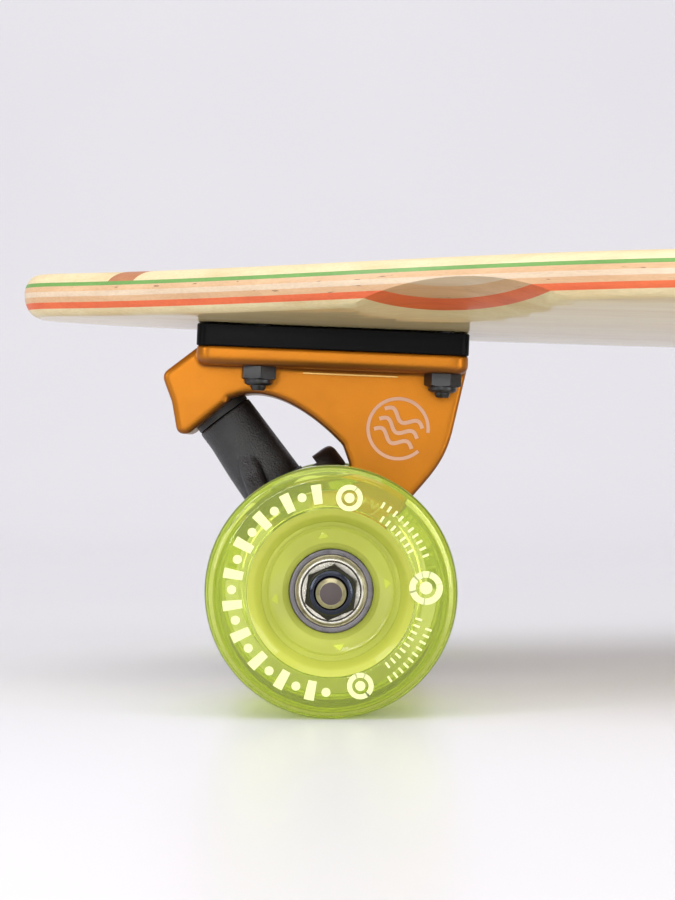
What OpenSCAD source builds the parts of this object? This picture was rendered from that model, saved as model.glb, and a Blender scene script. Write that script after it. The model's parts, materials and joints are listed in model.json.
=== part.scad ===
// Cruiser skateboard: seven-ply tapered deck, co-axial trucks and translucent wheels.
// +X runs along the board, +Y across it and +Z up. The wheels stand on z = 0.

/* [Deck] */
// Length of the deck
deck_len = 864; // [820:2:920]
// Greatest width of the deck
deck_w = 240; // [220:2:250]
// Width of the blunt tip where the taper ends
tip_w = 48; // [40:2:70]
// Height of the underside above the floor, in the middle of the board
deck_z = 97.4; // [94:0.2:104]
// Lengthwise radius of the rocker
rocker_r = 8270; // [6000:10:12000]
// Rise of the concave, per square millimetre from the centreline
concave = 0.0007; // [0.0002:0.00001:0.001]
// How far the rounded edge falls back at the top and bottom faces
edge_round = 4.5; // [2:0.5:6]
// Width of each dark stripe let into the top veneer
stripe_w = 5; // [3:0.5:12]
// Distance of each stripe's middle from the centreline
stripe_y = 36; // [30:1:60]

/* [Wheel wells] */
// Radius of the scoop sanded over each wheel
well_r = 78; // [60:1:90]
// Distance of the scoop's middle inboard of the axle
well_x = 26; // [20:1:40]
// Distance from the centreline where the scoop runs out
well_y = 50; // [40:1:60]
// Slope of the scoop towards the edge of the deck
well_tilt = 15; // [8:0.5:16]

/* [Trucks] */
// Distance between the two axles
wheelbase = 680; // [640:2:700]
// Length of the riser and of the baseplate's flange
flange_len = 79.5; // [78:0.5:84]
// Width of the riser and of the flange
flange_w = 55; // [52:0.5:60]
// Thickness of the riser
riser_t = 6.35; // [3:0.05:12]
// Thickness of the flange
flange_t = 5.4; // [4:0.1:7]
// Width of the baseplate's web and lobes
web_w = 29; // [24:0.5:29]
// Angle of the steering axis from the vertical
steer_tilt = 37; // [35:0.5:39]
// Radius of the hanger's barrel
barrel_r = 9; // [8:0.1:9.4]
// Radius of the hanger's disc
disc_r = 20.8; // [18:0.1:20.9]
// Radius of the steering bolt
bolt_r = 5; // [4:0.1:5]
// Radius of the main bushing
bushing_r = 13; // [11:0.1:13.5]

/* [Wheels] */
// Radius of the wheel
wheel_r = 32.5; // [30:0.5:35]
// Distance of the wheel's outer face from the centreline
wheel_out = 111; // [109:0.5:112]
// Distance of the wheel's inner face from the centreline
wheel_in = 61; // [60:0.5:66]
// Radius of the moulded core
core_r = 18; // [16:0.5:20]
// Distance of the outer bearing's outer face from the centreline
bearing_out = 102.5; // [100:0.5:104]
// Distance of the axle's end from the centreline
axle_end = 114.5; // [113:0.5:116]

/* [Hidden] */
$fn = 96;

// Which end of the board, and which side of it
front = -1;
rear = 1;
left = -1;
right = 1;

// Veneers from the top face down
ply_t = [3.1, 1.15, 1.55, 1.5, 1.6, 1.75, 1.95];
function sum_from(v, i) = i >= len(v) ? 0 : v[i] + sum_from(v, i + 1);
deck_t = sum_from(ply_t, 0);
maple = "#ead9a6";
green_dye = "#8cc15a";
tan_veneer = "#cf9f6d";
pale_maple = "#e8d6c0";
orange_dye = "#e2713f";
mahogany = "#8a5a3c";

// Outline of one half of the deck: a blunt tip, then one long curve to the waist
half_len = deck_len / 2;
half_w = deck_w / 2;
tip_len = 12;
tip_slope = 0.67;
tip_curve = [
    [-half_len, 5],
    [-half_len, 13],
    [-half_len + 3, tip_w / 2 - 9 * tip_slope],
    [-half_len + tip_len, tip_w / 2]
];
side_curve = [
    [-half_len + tip_len, tip_w / 2],
    [-half_len + tip_len + 147, tip_w / 2 + 147 * tip_slope],
    [-225, half_w],
    [0, half_w]
];
function bezier(p, t) = pow(1 - t, 3) * p[0] + 3 * t * pow(1 - t, 2) * p[1]
    + 3 * t * t * (1 - t) * p[2] + pow(t, 3) * p[3];
function slope(p, t) = pow(1 - t, 2) * (p[1] - p[0]) + 2 * t * (1 - t) * (p[2] - p[1])
    + t * t * (p[3] - p[2]);
function outward(d) = [-d[1], d[0]] / norm(d);
tip_steps = [0, 0.4, 0.7];
side_steps = [for (i = [0:12]) i / 12];
quarter = concat(
    [for (t = tip_steps) [bezier(tip_curve, t), outward(slope(tip_curve, t))]],
    [for (t = side_steps) [bezier(side_curve, t), outward(slope(side_curve, t))]]
);
stations = len(quarter);
outline = concat(
    quarter,
    [for (i = [stations - 2:-1:0]) [
        [-quarter[i][0][0], quarter[i][0][1]],
        [-quarter[i][1][0], quarter[i][1][1]]
    ]]
);
strips = 6;

// Surface of the deck at a height above its underside, and the edge's fall-back there
function rise(x, y) = deck_z + x * x / (2 * rocker_r) + concave * y * y;
function fall_back(h) = edge_round * (1 - sqrt(1 - pow(min(1, abs(2 * h / deck_t - 1)), 2)));
function level(h) = [
    for (s = outline, j = [0:strips])
        let (edge = s[0] - fall_back(h) * s[1], y = edge[1] * (2 * j / strips - 1))
            [edge[0], y, rise(edge[0], y) + h]
];

// Truck frame: origin under the axle, +x inboard. The plate frame lies on the deck's underside.
axle_z = wheel_r;
plate_z = rise(wheelbase / 2, 0);
plate_tilt = asin(wheelbase / 2 / rocker_r);
plate_x = 0.5;
hole_in = 33.1;
hole_out = hole_in - 54;
hole_spare = hole_in - 63.5;
hole_y = 20.65;
shank_r = 2.4;
hole_r = 2.75;
head_r = 4.8;
nut_af = 9.5;
nut_t = 5.5;

// Steering frame: +z down the steering axis towards the inboard lobe, +x inboard and up
steer_origin = [-32.7, 0, 79.5];
lobe_seat = -2;
lobe_face = -20.3;
barrel_top = 0.4;
disc_top = 26;
disc_bottom = 34;
plate_seat = 46;
plate_face = 57;
lobe_r = 15.5;
seat_r = 8.9;
slot_perp = [9.2, 13.9];
slot_floor = 28.3;
washer_t = 1.5;
head_t = 6.5;
head_af = 16;
bolt_root = -14;
sleeve_r = 7;
axle_perp = -(steer_origin[0] * cos(steer_tilt) + (steer_origin[2] - axle_z) * sin(steer_tilt));
axle_along = -steer_origin[0] * sin(steer_tilt) + (steer_origin[2] - axle_z) * cos(steer_tilt);

// Axle line
axle_r = 3.97;
axle_root = 27;
boss_r = 8.5;
spacer_len = 10;
bearing_w = 7;
bearing_in = bearing_out - spacer_len - 2 * bearing_w;
race_seat = 11;
race_bore = 4;
pitch_r = 7.5;
ball_r = 1.985;
ball_count = 7;
axle_washer_t = 1.2;
axle_washer_r = 8.5;
axle_nut_af = 12.7;
axle_nut_t = 7.6;
shoulder = bearing_in - axle_washer_t;

function arc(c, r, a, b, n) = [for (i = [0:n]) c + r * [cos(a + (b - a) * i / n), sin(a + (b - a) * i / n)]];
function curve(p, n) = [for (i = [0:n]) bezier(p, i / n)];

// ---- placing ----

module truck_at(end) {
    translate([end * wheelbase / 2, 0, 0])
        rotate([0, 0, end == front ? 0 : 180])
            children();
}

module on_plate() {
    translate([0, 0, plate_z])
        rotate([0, plate_tilt, 0])
            children();
}

module on_steering_axis() {
    translate(steer_origin)
        rotate([0, 180 - steer_tilt, 0])
            rotate([0, 0, 180])
                children();
}

// Local z is the distance from the board's centreline
module on_axle(side) {
    translate([0, 0, axle_z])
        rotate([-side * 90, 0, 0])
            children();
}

module both_sides() {
    for (side = [left, right])
        on_axle(side)
            children();
}

module wheel_at(end, side) {
    translate([end * wheelbase / 2, 0, 0])
        on_axle(side)
            children();
}

module at_bolts(places) {
    for (x = places, side = [left, right])
        translate([x, side * hole_y, 0])
            children();
}

module tube(r_out, r_in, h) {
    difference() {
        cylinder(r = r_out, h = h);
        translate([0, 0, -1])
            cylinder(r = r_in, h = h + 2);
    }
}

module hexagon(af, h) {
    cylinder(r = af / sqrt(3), h = h, $fn = 6);
}

module rounded_plate(length, width, r, h) {
    translate([plate_x - length / 2, -width / 2, 0]) {
        translate([r, 0, 0])
            cube([length - 2 * r, width, h]);
        translate([0, r, 0])
            cube([length, width - 2 * r, h]);
        for (x = [r, length - r], y = [r, width - r])
            translate([x, y, 0])
                cylinder(r = r, h = h);
    }
}

// ---- deck ----

module veneer(i) {
    under = sum_from(ply_t, i + 1);
    row = strips + 1;
    rows = len(outline);
    n = row * rows;
    points = concat(level(under), level(under + ply_t[i]));
    cells = [for (s = [0:rows - 2], j = [0:strips - 1]) s * row + j];
    low = [for (k = cells) each [[k, k + 1, k + row + 1], [k, k + row + 1, k + row]]];
    high = [for (k = cells) each [
        [n + k, n + k + row + 1, n + k + 1],
        [n + k, n + k + row, n + k + row + 1]
    ]];
    near = [for (s = [0:rows - 2]) let (k = s * row) each [
        [k, k + row, n + k + row],
        [k, n + k + row, n + k]
    ]];
    far = [for (s = [0:rows - 2]) let (k = s * row + strips) each [
        [k, n + k + row, k + row],
        [k, n + k, n + k + row]
    ]];
    last = (rows - 1) * row;
    ends = [for (j = [0:strips - 1]) each [
        [j, n + j, n + j + 1],
        [j, n + j + 1, j + 1],
        [last + j, n + last + j + 1, n + last + j],
        [last + j, last + j + 1, n + last + j + 1]
    ]];
    polyhedron(points = points, faces = concat(low, high, near, far, ends));
}

module wheel_wells() {
    for (end = [front, rear], side = [left, right])
        truck_at(end)
            translate([well_x, side * well_y, rise(wheelbase / 2 - well_x, well_y)])
                rotate([side * (well_tilt - 90), 0, 0])
                    translate([0, side * well_r, -60])
                        cylinder(r = well_r, h = 200);
}

module deck_holes() {
    for (end = [front, rear])
        truck_at(end)
            on_plate()
                at_bolts([hole_in, hole_out])
                    translate([0, 0, -5])
                        cylinder(r = hole_r, h = deck_t + 15);
}

module countersinks() {
    sink = head_r - shank_r;
    for (end = [front, rear])
        truck_at(end)
            on_plate()
                at_bolts([hole_in, hole_out])
                    translate([0, 0, deck_t - sink])
                        cylinder(r1 = shank_r, r2 = shank_r + sink + 2, h = sink + 2);
}

module stripe_bands() {
    for (side = [left, right])
        translate([-half_len - 1, side * stripe_y - stripe_w / 2, 0])
            cube([deck_len + 2, stripe_w, 200]);
}

module ply(i, tint) {
    color(tint)
        difference() {
            veneer(i);
            deck_holes();
            if (i < 2)
                countersinks();
            if (i > 2)
                wheel_wells();
            if (i == 0)
                stripe_bands();
        }
}

module inlay_stripes() {
    color(mahogany)
        intersection() {
            veneer(0);
            stripe_bands();
        }
}

// ---- fixings ----

module mounting_bolts() {
    sink = head_r - shank_r;
    grip = deck_t + riser_t + flange_t + nut_t + 1.5;
    color("#25262a")
        for (end = [front, rear])
            truck_at(end)
                on_plate()
                    at_bolts([hole_in, hole_out])
                        difference() {
                            union() {
                                translate([0, 0, deck_t - grip])
                                    cylinder(r = shank_r, h = grip - sink);
                                translate([0, 0, deck_t - sink])
                                    cylinder(r1 = shank_r, r2 = head_r, h = sink);
                            }
                            translate([0, 0, deck_t - 1.6])
                                hexagon(3, 2);
                        }
}

module mounting_nuts() {
    collar_t = 1.6;
    color("#1f2023")
        for (end = [front, rear])
            truck_at(end)
                on_plate()
                    at_bolts([hole_in, hole_out])
                        translate([0, 0, -riser_t - flange_t - nut_t])
                            difference() {
                                union() {
                                    translate([0, 0, collar_t])
                                        hexagon(nut_af, nut_t - collar_t);
                                    cylinder(r = nut_af / 2 - 0.6, h = collar_t);
                                }
                                translate([0, 0, -1])
                                    cylinder(r = shank_r, h = nut_t + 2);
                            }
}

// ---- truck ----

module riser(end) {
    color("#17171a")
        truck_at(end)
            on_plate()
                difference() {
                    translate([0, 0, -riser_t])
                        rounded_plate(flange_len, flange_w, 3, riser_t);
                    at_bolts([hole_in, hole_out, hole_spare])
                        translate([0, 0, -riser_t - 1])
                            cylinder(r = hole_r, h = riser_t + 2);
                }
}

// Side view of the web and both lobes, in the truck frame
function steer_point(perp, along) = [
    steer_origin[0] + perp * cos(steer_tilt) + along * sin(steer_tilt),
    steer_origin[2] + perp * sin(steer_tilt) - along * cos(steer_tilt)
];
web_outline = concat(
    [[-38, 101], steer_point(6, lobe_face), steer_point(-5.6, lobe_face)],
    [steer_point(-7.2, lobe_face + 1.4), [-46.6, 78.3]],
    curve([[-46.2, 77], [-45.3, 74.6], [-42.6, 74.2], [-40.8, 75.3]], 4),
    [steer_point(5.4, lobe_seat)],
    curve([[-29.4, 84.4], [-22, 88.6], [-9, 83.5], [3.3, 70.4]], 10),
    [steer_point(21.5, 34.5), steer_point(17, 41)],
    [steer_point(14, plate_seat), steer_point(0, plate_seat)],
    [steer_point(0, plate_face), steer_point(15, plate_face)],
    curve([[24.5, 55.9], [30.3, 62.5], [34, 66.5], [36, 75.5]], 6),
    [[40.2, 93.5], [40.2, 95]]
);

module baseplate(end) {
    color("#ee9431")
        truck_at(end)
            difference() {
                union() {
                    on_plate()
                        translate([0, 0, -riser_t - flange_t])
                            rounded_plate(flange_len, flange_w, 4, flange_t);
                    intersection() {
                        rotate([90, 0, 0])
                            translate([0, 0, -web_w / 2])
                                linear_extrude(web_w)
                                    polygon(web_outline);
                        on_plate()
                            translate([-80, -30, -riser_t - 90])
                                cube([160, 60, 90]);
                    }
                    on_steering_axis()
                        translate([0, 0, plate_seat])
                            cylinder(r = lobe_r, h = plate_face - plate_seat);
                }
                on_plate()
                    at_bolts([hole_in, hole_out, hole_spare])
                        translate([0, 0, -riser_t - flange_t - 1])
                            cylinder(r = hole_r, h = flange_t + 2);
                on_steering_axis() {
                    translate([0, 0, bolt_root - 1])
                        cylinder(r = bolt_r, h = 90);
                    translate([0, 0, lobe_seat])
                        cylinder(r = seat_r, h = 5);
                }
            }
}

// Half of the hanger's wing, as (distance from the centreline, distance down the steering axis)
wing = [
    [11, 27], [18, 27.2], [26, 31.5], [37, 43.5], [46, 49.5], [58, 51.5],
    [58, axle_along], [24.5, axle_along], [21.5, plate_seat], [15.5, disc_bottom], [11, disc_bottom]
];

module hanger(end) {
    color("#1c1c1f")
        truck_at(end)
            difference() {
                union() {
                    on_steering_axis() {
                        rotate_extrude()
                            polygon(concat(
                                [[sleeve_r, barrel_top], [barrel_r - 1.2, barrel_top]],
                                [[barrel_r, barrel_top + 1.2], [barrel_r, disc_top + 1.5]],
                                [[14, disc_top + 1.5]],
                                arc([disc_r - 3, disc_top + 3], 3, -90, 0, 4),
                                [[disc_r, disc_bottom], [sleeve_r, disc_bottom]]
                            ));
                        difference() {
                            translate([-0.8, 0, 3])
                                cylinder(r1 = 8.4, r2 = 9.65, h = 25);
                            cylinder(r = sleeve_r, h = 60);
                        }
                        for (side = [left, right])
                            translate([1, 0, 0])
                                rotate([0, -90, 0])
                                    linear_extrude(10.5)
                                        polygon([for (p = wing) [p[1], side * p[0]]]);
                    }
                    both_sides()
                        translate([0, 0, axle_root])
                            cylinder(r = boss_r, h = shoulder - axle_root);
                }
                both_sides()
                    translate([0, 0, axle_root - 4])
                        cylinder(r = axle_r, h = 100);
                on_steering_axis()
                    translate([slot_perp[0], -25, disc_top - 3])
                        cube([slot_perp[1] - slot_perp[0], 50, slot_floor - disc_top + 3]);
                on_steering_axis()
                    cylinder(r = sleeve_r, h = disc_bottom + 0.01);
            }
}

module stub_axles(end) {
    color("#b9babd")
        truck_at(end)
            both_sides()
                translate([0, 0, axle_root]) {
                    cylinder(r = axle_r, h = axle_end - axle_root - 1);
                    translate([0, 0, axle_end - axle_root - 1])
                        cylinder(r1 = axle_r, r2 = axle_r - 0.9, h = 1);
                }
}

module steering_bolt(end) {
    color("#2b2c30")
        truck_at(end)
            on_steering_axis() {
                translate([0, 0, bolt_root])
                    cylinder(r = bolt_r, h = plate_face + washer_t - bolt_root);
                translate([0, 0, plate_face + washer_t])
                    hexagon(head_af, head_t);
            }
}

module steering_washer(end) {
    color("#9a9b9e")
        truck_at(end)
            on_steering_axis()
                translate([0, 0, plate_face])
                    tube(10.5, bolt_r, washer_t);
}

module main_bushing(end) {
    color("#d9c33c")
        truck_at(end)
            on_steering_axis()
                translate([0, 0, disc_bottom + 0.1])
                    tube(bushing_r, bolt_r + 0.2, plate_seat - disc_bottom - 0.1);
}

module thrust_washer(end) {
    color("#2a2a2c")
        truck_at(end)
            on_steering_axis()
                translate([0, 0, lobe_seat])
                    tube(barrel_r - 0.6, bolt_r + 0.2, barrel_top - lobe_seat - 0.1);
}

module pivot_sleeve(end) {
    color("#b8a46a")
        truck_at(end)
            on_steering_axis()
                translate([0, 0, barrel_top + 0.2])
                    tube(sleeve_r, bolt_r + 0.05, disc_bottom - barrel_top - 1);
}

module axle_washers(end) {
    color("#c9c8c4")
        truck_at(end)
            both_sides()
                for (z = [shoulder, bearing_out])
                    translate([0, 0, z])
                        tube(axle_washer_r, axle_r + 0.1, axle_washer_t);
}

module axle_nuts(end) {
    seat = bearing_out + axle_washer_t;
    collar_t = 2;
    color("#3a3c40")
        truck_at(end)
            both_sides()
                translate([0, 0, seat])
                    rotate([0, 0, 23])
                        difference() {
                            union() {
                                hexagon(axle_nut_af, axle_nut_t - collar_t);
                                cylinder(r = axle_nut_af / 2 - 0.6, h = axle_nut_t);
                            }
                            translate([0, 0, -1])
                                cylinder(r = axle_r, h = axle_nut_t + 2);
                        }
}

module bearing_spacers(end) {
    color("#b9babd")
        truck_at(end)
            both_sides()
                translate([0, 0, bearing_in + bearing_w])
                    tube(5.9, axle_r + 0.08, spacer_len);
}

// ---- bearings ----

module at_bearings() {
    for (z = [bearing_in, bearing_out - bearing_w])
        translate([0, 0, z + bearing_w / 2])
            children();
}

module ball_track() {
    rotate_extrude()
        translate([pitch_r, 0])
            circle(r = ball_r + 0.04);
}

module inner_races(end) {
    color("#c3c4c8")
        truck_at(end)
            both_sides()
                at_bearings()
                    difference() {
                        translate([0, 0, -bearing_w / 2])
                            tube(6.05, race_bore, bearing_w);
                        ball_track();
                    }
}

module outer_races(end, side) {
    color("#8d8f94")
        wheel_at(end, side)
            at_bearings()
                difference() {
                    translate([0, 0, -bearing_w / 2])
                        tube(race_seat, 8.95, bearing_w);
                    for (z = [-bearing_w / 2 - 1, bearing_w / 2 - 0.9])
                        translate([0, 0, z])
                            cylinder(r = 9.5, h = 1.9);
                    ball_track();
                }
}

module shields(end, side) {
    color("#a9abb0")
        wheel_at(end, side)
            at_bearings()
                for (z = [-bearing_w / 2 + 0.6, bearing_w / 2 - 0.9])
                    translate([0, 0, z])
                        tube(9.5, 6.5, 0.3);
}

module balls(end, side) {
    color("#d8d9dc")
        wheel_at(end, side)
            at_bearings()
                for (i = [0:ball_count - 1])
                    rotate([0, 0, i * 360 / ball_count])
                        translate([pitch_r, 0, 0])
                            sphere(r = ball_r);
}

module ball_cages(end, side) {
    color("#b08d57")
        wheel_at(end, side)
            at_bearings()
                difference() {
                    translate([0, 0, -2.4])
                        tube(7.9, 7.1, 4.8);
                    for (i = [0:ball_count - 1])
                        rotate([0, 90, i * 360 / ball_count])
                            translate([0, 0, 5])
                                cylinder(r = ball_r + 0.04, h = 5);
                }
}

// ---- wheel ----

module tyre(end, side) {
    lip = [4.2, 3.4];
    function corner(z, from, to) = [
        for (p = arc([0, 0], 1, from, to, 6))
            [wheel_r + lip[0] * (p[0] - 1), z + lip[1] * p[1]]
    ];
    color("#bcd23c")
        wheel_at(end, side)
            rotate_extrude()
                polygon(concat(
                    [[core_r, wheel_in + 10], [core_r + 3, wheel_in + 1]],
                    [[core_r + 6, wheel_in]],
                    corner(wheel_in + lip[1], -90, 0),
                    corner(wheel_out - lip[1], 0, 90),
                    [[core_r + 6, wheel_out], [core_r + 3.5, wheel_out - 1]],
                    [[core_r, wheel_out - 6]]
                ));
}

module core(end, side) {
    mouth = race_seat + 1;
    color("#cfdc6a")
        wheel_at(end, side)
            rotate_extrude()
                polygon([
                    [mouth, wheel_in + 12],
                    [core_r, wheel_in + 12],
                    [core_r, wheel_out - 6],
                    [core_r - 1.5, wheel_out - 6.8],
                    [mouth + 0.6, wheel_out - 7.2],
                    [race_seat, bearing_out],
                    [race_seat, bearing_out - bearing_w],
                    [race_seat - 1.2, bearing_out - bearing_w],
                    [race_seat - 1.2, bearing_in + bearing_w],
                    [race_seat, bearing_in + bearing_w],
                    [race_seat, bearing_in],
                    [mouth, bearing_in - 1]
                ]);
}

ply(0, maple);  // ply_top_maple
ply(1, green_dye);  // ply_green
ply(2, tan_veneer);  // ply_upper_tan
ply(3, pale_maple);  // ply_core_maple
ply(4, tan_veneer);  // ply_lower_tan
ply(5, orange_dye);  // ply_orange
ply(6, maple);  // ply_bottom_maple
inlay_stripes();
mounting_bolts();
mounting_nuts();
riser(front);  // front_riser
baseplate(front);  // front_baseplate
hanger(front);  // front_hanger
stub_axles(front);  // front_stub_axles
steering_bolt(front);  // front_steering_bolt
steering_washer(front);  // front_steering_washer
main_bushing(front);  // front_main_bushing
thrust_washer(front);  // front_thrust_washer
pivot_sleeve(front);  // front_pivot_sleeve
axle_washers(front);  // front_axle_washers
axle_nuts(front);  // front_axle_nuts
bearing_spacers(front);  // front_bearing_spacers
inner_races(front);  // front_inner_races
riser(rear);  // rear_riser
baseplate(rear);  // rear_baseplate
hanger(rear);  // rear_hanger
stub_axles(rear);  // rear_stub_axles
steering_bolt(rear);  // rear_steering_bolt
steering_washer(rear);  // rear_steering_washer
main_bushing(rear);  // rear_main_bushing
thrust_washer(rear);  // rear_thrust_washer
pivot_sleeve(rear);  // rear_pivot_sleeve
axle_washers(rear);  // rear_axle_washers
axle_nuts(rear);  // rear_axle_nuts
bearing_spacers(rear);  // rear_bearing_spacers
inner_races(rear);  // rear_inner_races
tyre(front, left);  // front_left_tyre
core(front, left);  // front_left_core
outer_races(front, left);  // front_left_outer_races
shields(front, left);  // front_left_shields
balls(front, left);  // front_left_balls
ball_cages(front, left);  // front_left_ball_cages
tyre(front, right);  // front_right_tyre
core(front, right);  // front_right_core
outer_races(front, right);  // front_right_outer_races
shields(front, right);  // front_right_shields
balls(front, right);  // front_right_balls
ball_cages(front, right);  // front_right_ball_cages
tyre(rear, left);  // rear_left_tyre
core(rear, left);  // rear_left_core
outer_races(rear, left);  // rear_left_outer_races
shields(rear, left);  // rear_left_shields
balls(rear, left);  // rear_left_balls
ball_cages(rear, left);  // rear_left_ball_cages
tyre(rear, right);  // rear_right_tyre
core(rear, right);  // rear_right_core
outer_races(rear, right);  // rear_right_outer_races
shields(rear, right);  // rear_right_shields
balls(rear, right);  // rear_right_balls
ball_cages(rear, right);  // rear_right_ball_cages
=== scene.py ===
"""Cruiser skateboard in a plain studio, round its CAD frame. Sizes are in millimetres, meshes in metres."""
import json
import math

import bmesh
import bpy
from mathutils import Matrix, Vector


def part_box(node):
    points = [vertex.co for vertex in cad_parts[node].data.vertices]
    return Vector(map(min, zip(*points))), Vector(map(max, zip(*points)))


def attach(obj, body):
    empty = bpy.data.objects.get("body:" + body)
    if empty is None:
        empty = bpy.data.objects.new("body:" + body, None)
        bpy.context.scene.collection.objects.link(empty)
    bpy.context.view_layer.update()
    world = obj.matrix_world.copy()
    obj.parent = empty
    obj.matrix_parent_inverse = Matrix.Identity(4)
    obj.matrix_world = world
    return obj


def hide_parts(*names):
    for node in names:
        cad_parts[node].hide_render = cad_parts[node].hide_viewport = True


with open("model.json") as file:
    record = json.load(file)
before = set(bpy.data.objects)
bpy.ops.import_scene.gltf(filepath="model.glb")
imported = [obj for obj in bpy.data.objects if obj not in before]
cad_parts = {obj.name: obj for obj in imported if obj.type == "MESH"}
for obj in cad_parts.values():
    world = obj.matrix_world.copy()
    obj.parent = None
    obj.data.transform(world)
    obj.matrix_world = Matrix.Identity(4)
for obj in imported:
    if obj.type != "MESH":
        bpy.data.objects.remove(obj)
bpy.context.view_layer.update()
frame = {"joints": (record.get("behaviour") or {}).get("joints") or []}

MM = 0.001
ENDS = {"front": -1, "rear": 1}
SIDES = {"left": -1, "right": 1}


# ---- sizes, from the frame ----

def span(node):
    """A CAD node's box in millimetres."""
    low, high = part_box(node)
    return low / MM, high / MM


tyre_low, tyre_high = span("front_left_tyre")
WHEEL_R = (tyre_high.z - tyre_low.z) / 2
AXLE_Z = (tyre_high.z + tyre_low.z) / 2
AXLE_X = -(tyre_high.x + tyre_low.x) / 2
WHEEL_OUT = -tyre_low.y
WHEEL_IN = -tyre_high.y
AXLE_END = span("front_stub_axles")[1].y
SHOULDER = span("front_hanger")[1].y
steering = next(j for j in frame["joints"] if j["name"] == "front_steering")
STEER_AT = Vector(steering["pos_m"]) / MM + Vector((AXLE_X, 0, 0))
STEER_TILT = math.atan2(steering["axis"][0], -steering["axis"][2])
BEARING_OUT = span("front_left_outer_races")[0].y * -1
BEARING_IN = span("front_left_outer_races")[1].y * -1

# Deck shape
ROCKER_R = 8270
CONCAVE = 0.0007
DECK_Z = 97.4
DECK_LEN = 864
DECK_W = 240
EDGE_ROUND = 4.5
PLY_T = [3.1, 1.15, 1.55, 1.5, 1.6, 1.75, 1.95]
DECK_T = sum(PLY_T)
STRIPE_Y = 36
STRIPE_W = 5
WELL_R = 78
WELL_X = 26
WELL_Y = 50
WELL_TILT = math.radians(15)

# Truck
RISER_T = 6.35
FLANGE_T = 5.4
FLANGE_LEN = 79.5
FLANGE_W = 55
FLANGE_X = 0.5
WEB_W = 29
HOLE_IN = 33.1
HOLE_OUT = HOLE_IN - 54
HOLE_Y = 20.65
SHANK_R = 2.4
HOLE_R = 2.75
HEAD_T = 2.4
PLATE_SEAT = 46
PLATE_FACE = 57
DISC_TOP = 26
DISC_BOTTOM = 34
BARREL_R = 9
DISC_R = 20.8
AXLE_R = 3.97
PLATE_TILT = math.asin(AXLE_X / ROCKER_R)


# ---- frames of reference ----

def move(x, y, z):
    return Matrix.Translation(Vector((x, y, z)) * MM)


def turn(degrees, axis):
    return Matrix.Rotation(math.radians(degrees), 4, axis)


def truck_frame(end):
    return move(ENDS[end] * AXLE_X, 0, 0) @ turn(0 if end == "front" else 180, "Z")


def rise(x, y):
    """Height of the deck's underside."""
    return DECK_Z + x * x / (2 * ROCKER_R) + CONCAVE * y * y


def plate_frame(end):
    return truck_frame(end) @ move(0, 0, rise(AXLE_X, 0)) @ Matrix.Rotation(PLATE_TILT, 4, "Y")


def steering_frame(end):
    """Its z runs down the steering axis, and its x inboard and up."""
    lean = Matrix.Rotation(math.pi - STEER_TILT, 4, "Y")
    return truck_frame(end) @ move(*STEER_AT) @ lean @ turn(180, "Z")


def axle_frame(end, side):
    """Its z is the distance outwards from the board's centreline."""
    return move(ENDS[end] * AXLE_X, 0, AXLE_Z) @ turn(-90 * SIDES[side], "X")


# ---- outlines ----

def bezier(p, t):
    a, b, c, d = [Vector(q) for q in p]
    return (1 - t) ** 3 * a + 3 * t * (1 - t) ** 2 * b + 3 * t * t * (1 - t) * c + t ** 3 * d


def curve(p, n):
    return [bezier(p, i / n) for i in range(n + 1)]


def filleted(points, radii, steps=5):
    """A closed outline with its corners rounded. radii is one size or one for each corner."""
    pts = [Vector(p) for p in points]
    n = len(pts)
    sizes = [radii] * n if isinstance(radii, (int, float)) else radii
    out = []
    for i, p in enumerate(pts):
        back, ahead = pts[i - 1] - p, pts[(i + 1) % n] - p
        if sizes[i] <= 0 or back.length < 1e-6 or ahead.length < 1e-6:
            out.append(p)
            continue
        half = back.angle(ahead) / 2
        cut = min(sizes[i] / max(math.tan(half), 1e-3), back.length * 0.49, ahead.length * 0.49)
        a, b = p + back.normalized() * cut, p + ahead.normalized() * cut
        for k in range(steps + 1):
            s = k / steps
            out.append((1 - s) ** 2 * a + 2 * s * (1 - s) * p + s * s * b)
    return out


def circle(r, n, x=0, y=0):
    turns = [math.tau * i / n for i in range(n)]
    return [Vector((x + r * math.cos(a), y + r * math.sin(a))) for a in turns]


def hexagon(af):
    return circle(af / math.sqrt(3), 6)


def rounded_rect(length, width, r, inset=0, steps=6):
    """Centred on the flange's middle, and drawn in by inset."""
    hx, hy = length / 2 - inset, width / 2 - inset
    keep = max(r - inset, 0.2)
    out = []
    for cx, cy, start in ((hx, hy, 0), (-hx, hy, 90), (-hx, -hy, 180), (hx, -hy, 270)):
        for k in range(steps + 1):
            a = math.radians(start + 90 * k / steps)
            out.append(Vector((
                FLANGE_X + cx - math.copysign(keep, cx) + keep * math.cos(a),
                cy - math.copysign(keep, cy) + keep * math.sin(a))))
    return out


def inset_outline(points, d):
    """A closed outline drawn in by d along its normals."""
    n = len(points)
    area = sum(points[i - 1].x * points[i].y - points[i].x * points[i - 1].y for i in range(n))
    sign = 1 if area > 0 else -1
    out = []
    for i, p in enumerate(points):
        along = (points[(i + 1) % n] - points[i - 1]).normalized()
        out.append(p + sign * d * Vector((-along.y, along.x)))
    return out


# ---- meshes ----

def new_object(name, verts, faces, sharp=32, face_slots=None):
    """A mesh object from points in millimetres."""
    mesh = bpy.data.meshes.new(name)
    mesh.from_pydata([Vector(v) * MM for v in verts], [], faces)
    if face_slots:
        mesh.polygons.foreach_set("material_index", face_slots)
    tidy(mesh, sharp)
    obj = bpy.data.objects.new(name, mesh)
    bpy.context.scene.collection.objects.link(obj)
    return obj


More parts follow.
